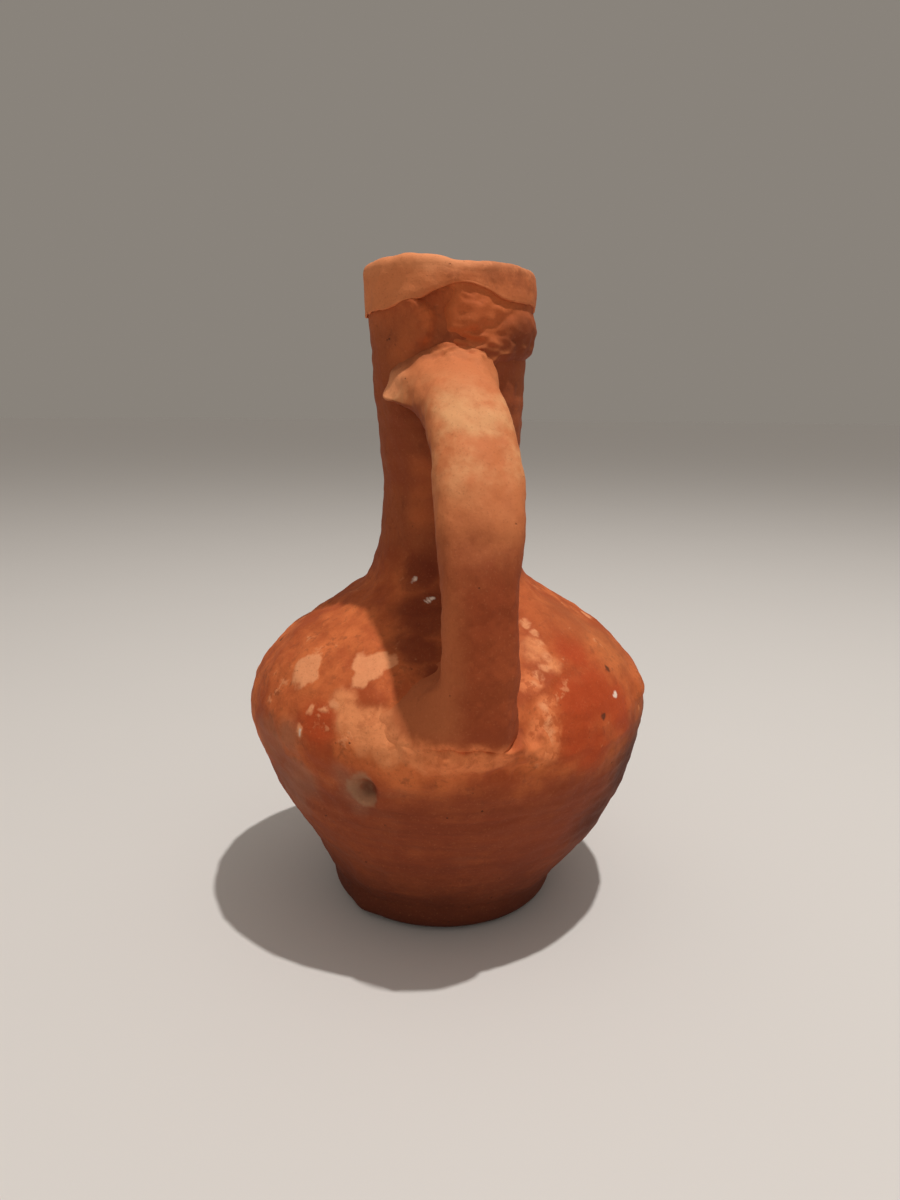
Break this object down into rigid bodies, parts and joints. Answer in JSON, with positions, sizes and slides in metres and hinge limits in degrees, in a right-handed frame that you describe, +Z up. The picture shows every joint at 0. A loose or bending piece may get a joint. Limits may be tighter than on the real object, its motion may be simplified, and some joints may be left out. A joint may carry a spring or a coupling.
{
  "type": "earthenware jug",
  "caption": "Small unglazed earthenware jug with a flaring foot, wide belly, sloping shoulder, narrow neck, folded collar lip and a strap handle, for pouring and keeping liquids.",
  "frame": {"origin": "centre of the flat underside, where the jug's axis meets the table", "axes": "+Z up along the jug's axis, +X towards the handle"},
  "size_m": [0.0815, 0.0766, 0.1209],
  "materials": {
    "body_clay": "matte",
    "rim_clay": "matte",
    "handle_clay": "matte"
  },
  "bodies": {
    "root": {"foot": "body_clay", "belly": "body_clay", "shoulder": "body_clay", "neck": "body_clay", "rim_collar": "rim_clay", "handle_strap": "handle_clay", "upper_wad": "handle_clay", "lower_wad": "handle_clay"}
  },
  "joints": []
}
